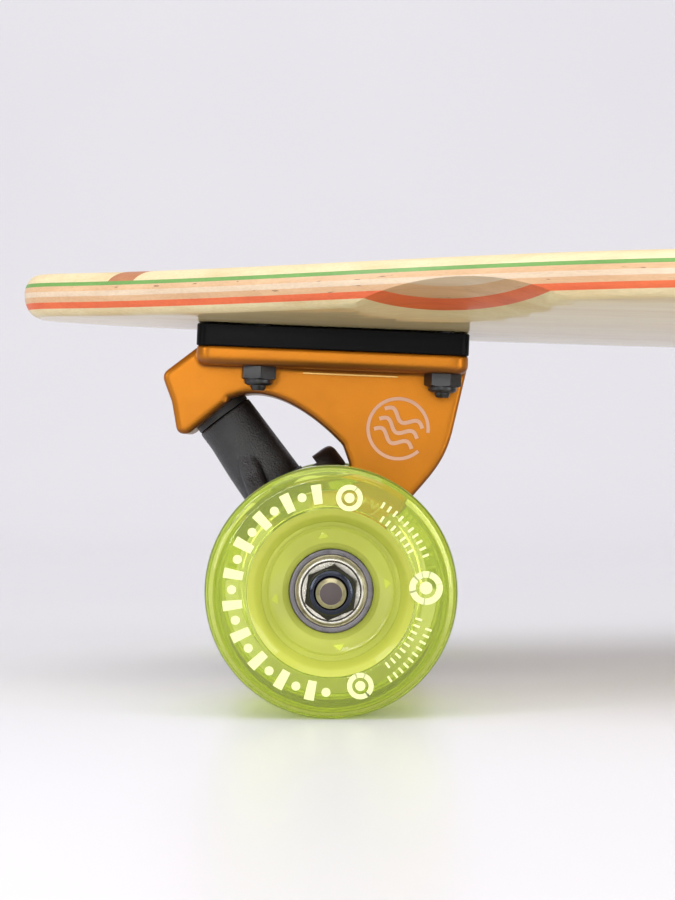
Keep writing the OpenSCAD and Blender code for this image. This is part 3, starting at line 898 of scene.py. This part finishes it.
def build_truck(end, casting, hanger):
    root, swing = "root", f"hanger_{end}"
    turned = Matrix.Identity(4) if end == "front" else turn(180, "Z")
    base = casting if end == "front" else copy_of(casting, "rear_baseplate_casting", turned)
    fit(base, root, f"{end}_baseplate", "orange_alloy", ORANGE, ORANGE_MACHINED_AND_HIGHLIGHT)
    arm = hanger if end == "front" else copy_of(hanger, "rear_hanger_casting", turned)
    fit(arm, swing, f"{end}_hanger", "black_alloy", HANGER_BLACK)
    pad = slab(f"{end}_riser_pad", FLANGE_LEN, FLANGE_W, 3, -RISER_T, 0, 0.35, 0.35, plate_frame(end))
    fit(pad, root, f"{end}_riser", "riser_plastic", RISER_BLACK)
    for side in SIDES:
        mark = emblem(end, side)
        mark.data.materials.append(EMBLEM_INK)
        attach(mark, root)
    place = steering_frame(end)

    def turned_piece(word, points, radii, body, node, slot, material):
        piece = lathe(f"{end}_{word}", filleted(points, radii), 96, place=place)
        fit(piece, body, f"{end}_{node}", slot, material)

    bushing = [(5.3, DISC_BOTTOM + 0.1), (12.2, DISC_BOTTOM + 0.1), (13, 40), (12.2, PLATE_SEAT - 0.05),
               (5.3, PLATE_SEAT - 0.05)]
    radii = [0, 1.2, 8, 1.2, 0]
    turned_piece("bushing_urethane", bushing, radii, root, "main_bushing", "amber_urethane", AMBER)
    washer = [(5.3, -2), (8.75, -2), (8.75, 0.3), (5.3, 0.3)]
    turned_piece("thrust_ring", washer, [0, 0.2, 0.2, 0], root, "thrust_washer", "black_plastic", BLACK_RUBBER)
    sleeve = [(5.05, 0.6), (7, 0.6), (7, 33.6), (5.05, 33.6)]
    turned_piece("sleeve_liner", sleeve, 0.25, swing, "pivot_sleeve", "acetal", ACETAL)
    disc = [(5.05, PLATE_FACE), (10.5, PLATE_FACE), (10.5, PLATE_FACE + 1.5), (5.05, PLATE_FACE + 1.5)]
    turned_piece("steering_washer_steel", disc, 0.3, root, "steering_washer", "axle_steel", WASHER)
    shank = lathe("shank", [(0, -14), (4.2, -14), (5, -13), (5, PLATE_FACE + 2), (0, PLATE_FACE + 2)], 64)
    head = nut("head", 16, PLATE_FACE + 1.5, PLATE_FACE + 8, 0)
    bolt = joined(f"{end}_steering_bolt_steel", [shank, head])
    bolt.matrix_world = place
    fit(bolt, root, f"{end}_steering_bolt", "black_steel", NUT_BLACK)


# ---- fixings ----

def nut(name, af, z0, z1, bore, collar=0.0):
    """A hexagon with its corners turned down at the top, z1, and a crimped collar above it."""
    corner = af / math.sqrt(3)
    top = z1 - collar
    body = prism(name, hexagon(af), z0, top, 0.12, None, 2)
    slope = math.tan(math.radians(30))
    dome = lathe("dome", [(0, z0 - 1), (corner + 1, z0 - 1), (corner + 1, top - (corner - af / 2 + 1) * slope),
                          (af / 2 - 0.25, top + 0.001), (0, top + 0.001)], 96)
    cut(body, dome, "INTERSECT")
    if collar:
        r = af / 2 - 0.55
        cap = [(0, top - 0.8), (r, top - 0.8), (r, z1 - 0.5), (r - 0.9, z1), (0, z1)]
        cut(body, lathe("collar", filleted(cap, [0, 0, 0.7, 0.4, 0]), 96), "UNION")
    if bore:
        mouth = bore + (0.45 if collar else 0.1)
        hole = [(0, z0 - 1), (bore, z0 - 1), (bore, z1 - 0.9), (mouth, z1 - 0.3), (mouth, z1 + 1), (0, z1 + 1)]
        cut(body, lathe("hole", hole, 96))
    if collar:
        for face in body.data.polygons:
            face.material_index = 1 if face.center.z > (top + 0.05) * MM else 0
    return body


def thread(name, r, z0, z1, pitch, start, end_r):
    """A rod with ridges of thread from start to z1, where it is chamfered to end_r."""
    profile = [(0, z0), (r, z0), (r, start)]
    root_r = r - 0.38 * pitch
    z = start
    while z + pitch < z1 - 1.0:
        profile += [(root_r, z + pitch * 0.35), (root_r, z + pitch * 0.5)]
        profile += [(r, z + pitch * 0.88), (r, z + pitch)]
        z += pitch
    profile += [(r - 0.1, z1 - 0.9), (end_r, z1 - 0.05), (end_r - 0.15, z1), (0, z1)]
    return lathe(name, profile, 96, 25)


def build_fixings():
    low = -RISER_T - FLANGE_T
    nut_t = 5.5
    nuts, bolts = [], []
    made = nut("lock_nut", 9.5, 0, nut_t, SHANK_R, 1.6)
    rod = thread("rod", SHANK_R, 0, DECK_T - low + nut_t + 1.5 - HEAD_T, 0.8, 18.0, 1.8)
    under = DECK_T - HEAD_T
    socket = DECK_T - 1.5
    cone = [(0, under), (SHANK_R, under), (4.8, DECK_T - 0.2), (4.8, DECK_T), (1.9, DECK_T), (1.6, socket),
            (0, socket)]
    cone = filleted(cone, [0, 0.2, 0.1, 0.1, 0.1, 0.1, 0])
    for end in ENDS:
        for k, (x, y) in enumerate(bolt_places()):
            hole = plate_frame(end) @ move(x, y, 0)
            spin = turn(8 + 37 * k, "Z")
            nuts.append(copy_of(made, "lock_nut_copy", hole @ move(0, 0, low) @ turn(180, "X") @ spin))
            bolts.append(copy_of(rod, "rod_copy", hole @ move(0, 0, under) @ turn(180, "X")))
            bolts.append(lathe("head", cone, 64, place=hole @ move(0, 0, 0.12)))
    bpy.data.objects.remove(made)
    bpy.data.objects.remove(rod)
    group = joined("deck_lock_nuts", nuts)
    shade(group.data, 30)
    fit(group, "root", "mounting_nuts", "black_steel", NUT_BLACK, NUT_BLACK)
    group = joined("deck_bolts", bolts)
    shade(group.data, 30)
    fit(group, "root", "mounting_bolts", "black_steel", NUT_BLACK)


# ---- wheels ----

LIP_R = 4.2
LIP_H = 3.4
BALL_R = 1.985
BALL_COUNT = 7
PITCH_R = 7.5


def tyre_profile():
    """The urethane's outline, and each edge's kind: 0 skin, 1 bonded to the core, 2 inner slope, which is
    painted lighter.
    """
    turns = [math.pi / 2 * k / 14 for k in range(15)]
    lip = [(WHEEL_R - LIP_R * (1 - math.sin(a)), WHEEL_OUT - LIP_H * (1 - math.cos(a))) for a in turns]
    back = [(WHEEL_R - LIP_R * (1 - math.cos(a)), WHEEL_IN + LIP_H * (1 - math.sin(a))) for a in turns]
    outer = ([(18.0, WHEEL_OUT - 6.2), (19.6, WHEEL_OUT - 1.6), (21.8, WHEEL_OUT)] + lip + back
             + [(25.5, WHEEL_IN), (21.5, WHEEL_IN + 3.5), (18.0, WHEEL_IN + 12)])
    radii = [0, 2.0, 1.6] + [0] * 30 + [1.0, 2.5, 0]
    points = filleted(outer, radii, 10)
    last = len(points) - 1
    return points, [1 if i == last else 2 if points[i].x < 21.4 and points[i].y > WHEEL_OUT - 9 else 0
                    for i in range(len(points))]


def core_profile():
    """The core's outline, and which of its edges are bonded to the urethane."""
    out = WHEEL_OUT
    points = [(17.98, WHEEL_IN + 12), (17.98, out - 6.2), (17.2, out - 6.5), (16.7, out - 7.0),
              (16.1, out - 6.7), (12.6, out - 7.4), (11.6, out - 8.2), (11, BEARING_OUT - 0.4),
              (11, BEARING_OUT - 7), (9.8, BEARING_OUT - 7), (9.8, BEARING_IN + 7), (11, BEARING_IN + 7),
              (11, BEARING_IN), (12, BEARING_IN - 1.2), (12.6, WHEEL_IN + 12)]
    radii = [0, 0, 0.2, 0.2, 0.4, 0.5, 0.4, 0.1, 0, 0.2, 0.2, 0, 0.1, 0.4, 0.6]
    rounded = filleted(points, radii, 4)
    wall = [p.x > 17.9 for p in rounded]
    return rounded, [1 if here and ahead else 0 for here, ahead in zip(wall, wall[1:] + wall[:1])]


def polar(r, degrees):
    a = math.radians(degrees)
    return Vector((r * math.cos(a), r * math.sin(a)))


def sector(r0, r1, a0, a1, steps=8):
    """The outline of a piece of a ring."""
    return ([polar(r0, a0 + (a1 - a0) * k / steps) for k in range(steps + 1)]
            + [polar(r1, a1 - (a1 - a0) * k / steps) for k in range(steps + 1)])


def printed_marks():
    """Plain marks round the face, angles measured from the board's length, anticlockwise seen from outside."""
    marks = []
    for k in range(10):
        a = 98 + k * 17.8
        marks.append(sector(22.9, 27.9, a - 2.7, a + 2.7, 4))
        at = polar(25.4, a + 8.9)
        marks.append(circle(1.15, 28, at.x, at.y))
    for a, r, big in ((79, 24.7, 3.4), (3, 24.3, 4.3), (-72.5, 24.9, 3.4)):
        at = polar(r, a)
        ring = circle(big, 48, at.x, at.y)
        hole = circle(big * 0.62, 48, at.x, at.y)
        for k in range(48):
            j = (k + 1) % 48
            marks.append([hole[k], ring[k], ring[j], hole[j]])
        marks.append(circle(big * 0.38, 32, at.x, at.y))
    dashes = ((60, 18, 26.0, 4.2), (56, 24, 22.9, 4.6), (-16, -52, 23.4, 4.4), (-20, -58, 26.6, 3.9))
    for a, stop, r, step in dashes:
        while a > stop:
            marks.append(sector(r - 0.85, r + 0.85, a - step * 0.32, a, 2))
            a -= step
    return marks


def marks_object(name):
    """Each mark is a closed film of ink on the face."""
    verts, faces = [], []
    z0, z1 = WHEEL_OUT - 0.01, WHEEL_OUT + 0.05
    for outline in printed_marks():
        n, k = len(outline), len(verts)
        verts += [(p.x, p.y, z0) for p in outline] + [(p.x, p.y, z1) for p in outline]
        faces.append(tuple(k + i for i in reversed(range(n))))
        faces.append(tuple(k + n + i for i in range(n)))
        faces += [(k + i, k + (i + 1) % n, k + n + (i + 1) % n, k + n + i) for i in range(n)]
    return new_object(name, verts, faces)


def core_marks(name):
    """Four small moulded triangles on the core's face."""
    made = []
    for k in range(4):
        tri = [polar(15.6, 90 * k + 8), polar(13.9, 90 * k + 1.5), polar(13.9, 90 * k + 14.5)]
        made.append(prism("tri", filleted(tri, 0.35, 3), WHEEL_OUT - 7.4, WHEEL_OUT - 6.75, 0.12))
    return joined(name, made)


def bearing_parts():
    """Meshes of one bearing about its own middle: races, shields with their clip, balls and cage."""
    groove = [(8.95, 2.6), (8.95, 1.7), (9.35, 0.9), (9.5, 0), (9.35, -0.9), (8.95, -1.7)]
    outer = [(8.95, -2.6), (9.5, -2.6), (9.5, -3.45), (11, -3.5), (11, 3.5), (9.5, 3.45), (9.5, 2.6)] + groove
    radii = [0, 0, 0.15, 0.45, 0.45, 0.15, 0, 0, 0.1, 0.4, 0.4, 0.4, 0.1]
    race = lathe("race", filleted(outer, radii), 128, 30)
    shields = []
    plate = [(6.5, 2.62), (9.42, 2.62), (9.42, 2.85), (8.9, 2.88), (8.5, 3.08), (7.2, 3.1), (6.5, 2.92)]
    plate = filleted(plate, 0.06, 2)
    for place in (turn(180, "X"), turn(0, "X")):
        shields.append(lathe("shield", plate, 128, 30, place=place))
        shields.append(prism("clip", sector(9.02, 9.38, 24, 336, 60), 2.9, 3.16, 0.06, place, 2))
        for k in range(8):
            at = polar(9.2, 45 * k + 12)
            shields.append(prism("stake", circle(0.2, 12, at.x, at.y), 2.9, 3.22, 0.04, place, 2))
    track = [(6.05, -1.7), (5.65, -0.9), (5.49, 0), (5.65, 0.9), (6.05, 1.7)]
    bore = [(4, -3.5), (6.05, -3.5)] + track + [(6.05, 3.5), (4, 3.5)]
    inner = lathe("inner", filleted(bore, [0.25, 0.25, 0.1, 0.4, 0.4, 0.4, 0.1, 0.25, 0.25]), 96)
    return race, joined("shields", shields), inner


def ball_mesh():
    turns = [math.pi * (k / 20 - 0.5) for k in range(21)]
    return lathe("ball", [(max(BALL_R * math.cos(a), 0), BALL_R * math.sin(a)) for a in turns], 32)


def bearing_middles():
    return [BEARING_IN + 3.5, BEARING_OUT - 3.5]


def spread(name, mesh_object, places, sharp=30):
    """Copies of one mesh at several places, joined into one object."""
    made = joined(name, [copy_of(mesh_object, "copy", p) for p in places])
    shade(made.data, sharp)
    return made


def build_wheel_set():
    """The meshes that every wheel shares, in the axle's frame."""
    points, bonded = tyre_profile()
    tyre = lathe("tyre_mesh", points, 384, 40, slots=bonded)
    points, bonded = core_profile()
    core = lathe("core_mesh", points, 192, 30, slots=bonded)
    marks = marks_object("marks_mesh")
    tabs = core_marks("core_tabs_mesh")
    race, shield, inner = bearing_parts()
    ball = ball_mesh()
    cage = lathe("cage", filleted([(7.15, -2.3), (7.85, -2.3), (7.85, 2.3), (7.15, 2.3)], 0.1), 96)
    spokes = [turn(360 / BALL_COUNT * k, "Z") for k in range(BALL_COUNT)]
    holes = [prism("pocket", circle(2.03, 32), 5, 10, 0.0, spoke @ turn(90, "Y"), 1) for spoke in spokes]
    cut(cage, joined("pockets", holes))
    middles = [move(0, 0, z) for z in bearing_middles()]
    seats = [middle @ spoke @ move(PITCH_R, 0, 0) for middle in middles for spoke in spokes]
    balls = spread("balls_mesh", ball, seats)
    meshes = {
        "tyre": tyre, "core": joined("core_both", [core, tabs]), "marks": marks,
        "outer_races": spread("races_mesh", race, middles), "shields": spread("shields_mesh", shield, middles),
        "inner_races": spread("inner_mesh", inner, middles), "balls": balls,
        "ball_cages": spread("cages_mesh", cage, middles),
    }
    shade(meshes["core"].data, 30)
    for o in (race, shield, inner, ball, cage):
        bpy.data.objects.remove(o)
    low, high = BEARING_IN + 7, BEARING_OUT - 7
    tube = [(4.05, low), (5.9, low), (5.9, high), (4.05, high)]
    meshes["spacer"] = lathe("spacer_mesh", filleted(tube, 0.3), 96)
    dish = [(4.1, 0), (8.5, 0), (8.5, 1.2), (7.9, 1.2), (7.5, 1.0), (4.1, 1.0)]
    washer = lathe("washer", filleted(dish, [0.1, 0.25, 0.3, 0.15, 0.15, 0.1]), 128)
    meshes["washers"] = spread("washers_mesh", washer, [move(0, 0, SHOULDER), move(0, 0, BEARING_OUT)])
    bpy.data.objects.remove(washer)
    meshes["nut"] = nut("axle_nut_mesh", 12.7, BEARING_OUT + 1.2, BEARING_OUT + 8.8, AXLE_R, 2.2)
    meshes["axle"] = thread("axle_mesh", AXLE_R, 27, AXLE_END, 1.06, BEARING_OUT + 1, 3.0)
    for face in meshes["axle"].data.polygons:
        flat_end = face.normal.z > 0.95
        face.material_index = 1 if face.center.z > (AXLE_END - 0.95) * MM and not flat_end else 0
    return meshes


def build_wheels():
    meshes = build_wheel_set()
    wheel_parts = [
        # The tyre's third material, on its inner slope, is painted light.
        ("tyre", "urethane", "lime_urethane", (LIME_URETHANE, LIME_SEAM, LIME_INNER_PAINTED_LIGHT)),
        ("core", "moulding", "lime_core", (LIME_CORE, CORE_SEAM)),
        ("outer_races", "ground", "bearing_steel", (RACE,)),
        ("shields", "pressed", "bearing_steel", (SHIELD,)),
    ]
    ball_parts = [
        ("balls", "polished", "ball_steel", (BALL_STEEL,)),
        ("ball_cages", "ribbon", "cage_brass", (BRASS,)),
    ]
    axle_parts = [
        ("inner_races", "ground", "inner_races", "bearing_steel", (RACE,)),
        ("spacer", "tube", "bearing_spacers", "axle_steel", (STEEL,)),
        ("washers", "turned", "axle_washers", "washer_steel", (WASHER,)),
        ("nut", "locking", "axle_nuts", "dark_steel", (DARK_NUT, NUT_COLLAR)),
        ("axle", "threaded", "stub_axles", "axle_steel", (BOLT_END, SHIELD)),
    ]
    for end in ENDS:
        for side in SIDES:
            place = axle_frame(end, side)
            for key, word, slot, mats in wheel_parts:
                piece = copy_of(meshes[key], f"{end}_{side}_{key}_{word}", place)
                fit(piece, f"wheel_{end}_{side}", f"{end}_{side}_{key}", slot, *mats)
            ink = copy_of(meshes["marks"], f"{end}_{side}_printed_marks", place)
            ink.data.materials.clear()
            ink.data.materials.append(INK)
            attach(ink, f"wheel_{end}_{side}")
            for key, word, slot, mats in ball_parts:
                piece = copy_of(meshes[key], f"{end}_{side}_{key}_{word}", place)
                fit(piece, f"balls_{end}_{side}", f"{end}_{side}_{key}", slot, *mats)
            for key, word, node, slot, mats in axle_parts:
                spin = turn(23, "Z") if key == "nut" else Matrix.Identity(4)
                piece = copy_of(meshes[key], f"{end}_{side}_{key}_{word}", place @ spin)
                fit(piece, f"hanger_{end}", f"{end}_{node}", slot, *mats)
    for o in meshes.values():
        bpy.data.objects.remove(o)


# ---- studio ----

def build_studio():
    """A pale sweep that curves up behind the board, carries painted shade under and behind it, and shows only
    its front, soft boxes and a bright room.
    """
    floor = Look("studio_floor", base_color=(0.80, 0.79, 0.815), roughness=0.32)
    mottle = floor.noise(3.0, 2, 0.5)
    paper = floor.ramp(mottle, [(0.3, (0.80, 0.79, 0.815)), (0.7, (0.82, 0.81, 0.83))])
    # Painted shade: the floor's colour darkens under and just behind the board, where its shadow falls, and
    # lightens in front and far behind.
    depth = floor.node("MapRange")
    depth.inputs["From Min"].default_value = -0.4
    depth.inputs["From Max"].default_value = 1.0
    floor.link(floor.part(floor.node("TexCoord").outputs["Object"], "Y"), depth.inputs["Value"])
    tones = [(0.0, 0.93), (0.13, 0.93), (0.21, 0.89), (0.29, 0.89), (0.40, 0.82), (0.57, 0.85), (0.84, 0.95),
             (1.0, 1.0)]
    painted_shade_tone = floor.ramp(depth.outputs[0], tones)
    floor.colour(floor.mix(1.0, paper, painted_shade_tone, "MULTIPLY"))
    front = floor.node("NewGeometry").outputs["Backfacing"]
    floor.surface(floor.blend(front, floor.lobe("BsdfTransparent", (1.0, 1.0, 1.0)), floor.shader.outputs[0]))
    profile = [(-3000, 0), (900, 0)] + [(900 + 900 * math.sin(a), 900 - 900 * math.cos(a))
                                        for a in [math.radians(6 * k) for k in range(1, 16)]] + [(1800, 3200)]
    verts = [(x, y, z) for y, z in profile for x in (-4000, 4000)]
    faces = [(2 * i, 2 * i + 1, 2 * i + 3, 2 * i + 2) for i in range(len(profile) - 1)]
    sweep = new_object("studio_sweep", verts, faces, 60)
    sweep.data.materials.append(floor.mat)

    def softbox(name, at, aim, width, height, power, tone=(1, 1, 1)):
        data = bpy.data.lights.new(name, "AREA")
        data.shape = "RECTANGLE"
        data.size, data.size_y = width, height
        data.energy = power
        data.color = tone
        lamp = bpy.data.objects.new(name, data)
        lamp.location = at
        lamp.rotation_euler = (Vector(aim) - Vector(at)).to_track_quat("-Z", "Y").to_euler()
        bpy.context.scene.collection.objects.link(lamp)

    def strip(name, off_axis, clock, length, width, power):
        """A narrow light 1.2 m from the wheel's face, lying crosswise, that draws an arc on the lip."""
        away, angle = math.radians(off_axis), math.radians(clock)
        outward = Vector((math.cos(angle), 0, math.sin(angle)))
        along = Vector((-math.sin(angle), 0, math.cos(angle)))
        facing = math.sin(away) * outward - math.cos(away) * Vector((0, 1, 0))
        hub = Vector((x, -WHEEL_OUT * MM, AXLE_Z * MM))
        softbox(name, hub + 1.2 * facing, hub, length, width, power)
        lamp = bpy.data.objects[name]
        side = facing.cross(along).normalized()
        lamp.rotation_euler = Matrix((side.cross(facing), side, facing)).transposed().to_euler()

    x = -AXLE_X * MM
    softbox("top_light", (x - 0.05, -0.5, 1.65), (x, 0, 0), 1.7, 1.7, 17)
    softbox("left_light", (x - 1.15, -0.85, 0.75), (x, -0.05, 0.06), 0.26, 1.2, 7.5)
    softbox("right_light", (x + 1.25, -0.75, 0.55), (x, -0.05, 0.06), 0.24, 1.2, 7)
    softbox("front_fill", (x, -1.8, 0.35), (x, 0, 0.05), 1.6, 0.8, 3.0)
    strip("upper_strip", 13, 132, 0.36, 0.05, 1.1)
    strip("side_strip", 50, 12, 0.60, 0.05, 1.4)
    world = bpy.data.worlds.new("studio_room")
    world.use_nodes = True
    back = world.node_tree.nodes["Background"]
    back.inputs["Color"].default_value = (0.93, 0.92, 0.96, 1)
    back.inputs["Strength"].default_value = 0.68
    bpy.context.scene.world = world
    bpy.context.scene.view_settings.view_transform = "Standard"


def build_camera():
    """Level, across the board, just inboard of the front axle."""
    data = bpy.data.cameras.new("camera")
    data.sensor_width = 36
    data.lens = 94.8
    data.clip_start = 0.02
    camera = bpy.data.objects.new("camera", data)
    camera.location = Vector((-AXLE_X + 1.66, -716, 69)) * MM
    camera.rotation_euler = (math.radians(90), 0, 0)
    bpy.context.scene.collection.objects.link(camera)
    bpy.context.scene.camera = camera


build_camera()
build_studio()
build_deck()
base_casting = build_baseplate()
hanger_casting = build_hanger()
for truck in ENDS:
    build_truck(truck, base_casting, hanger_casting)
build_fixings()
build_wheels()
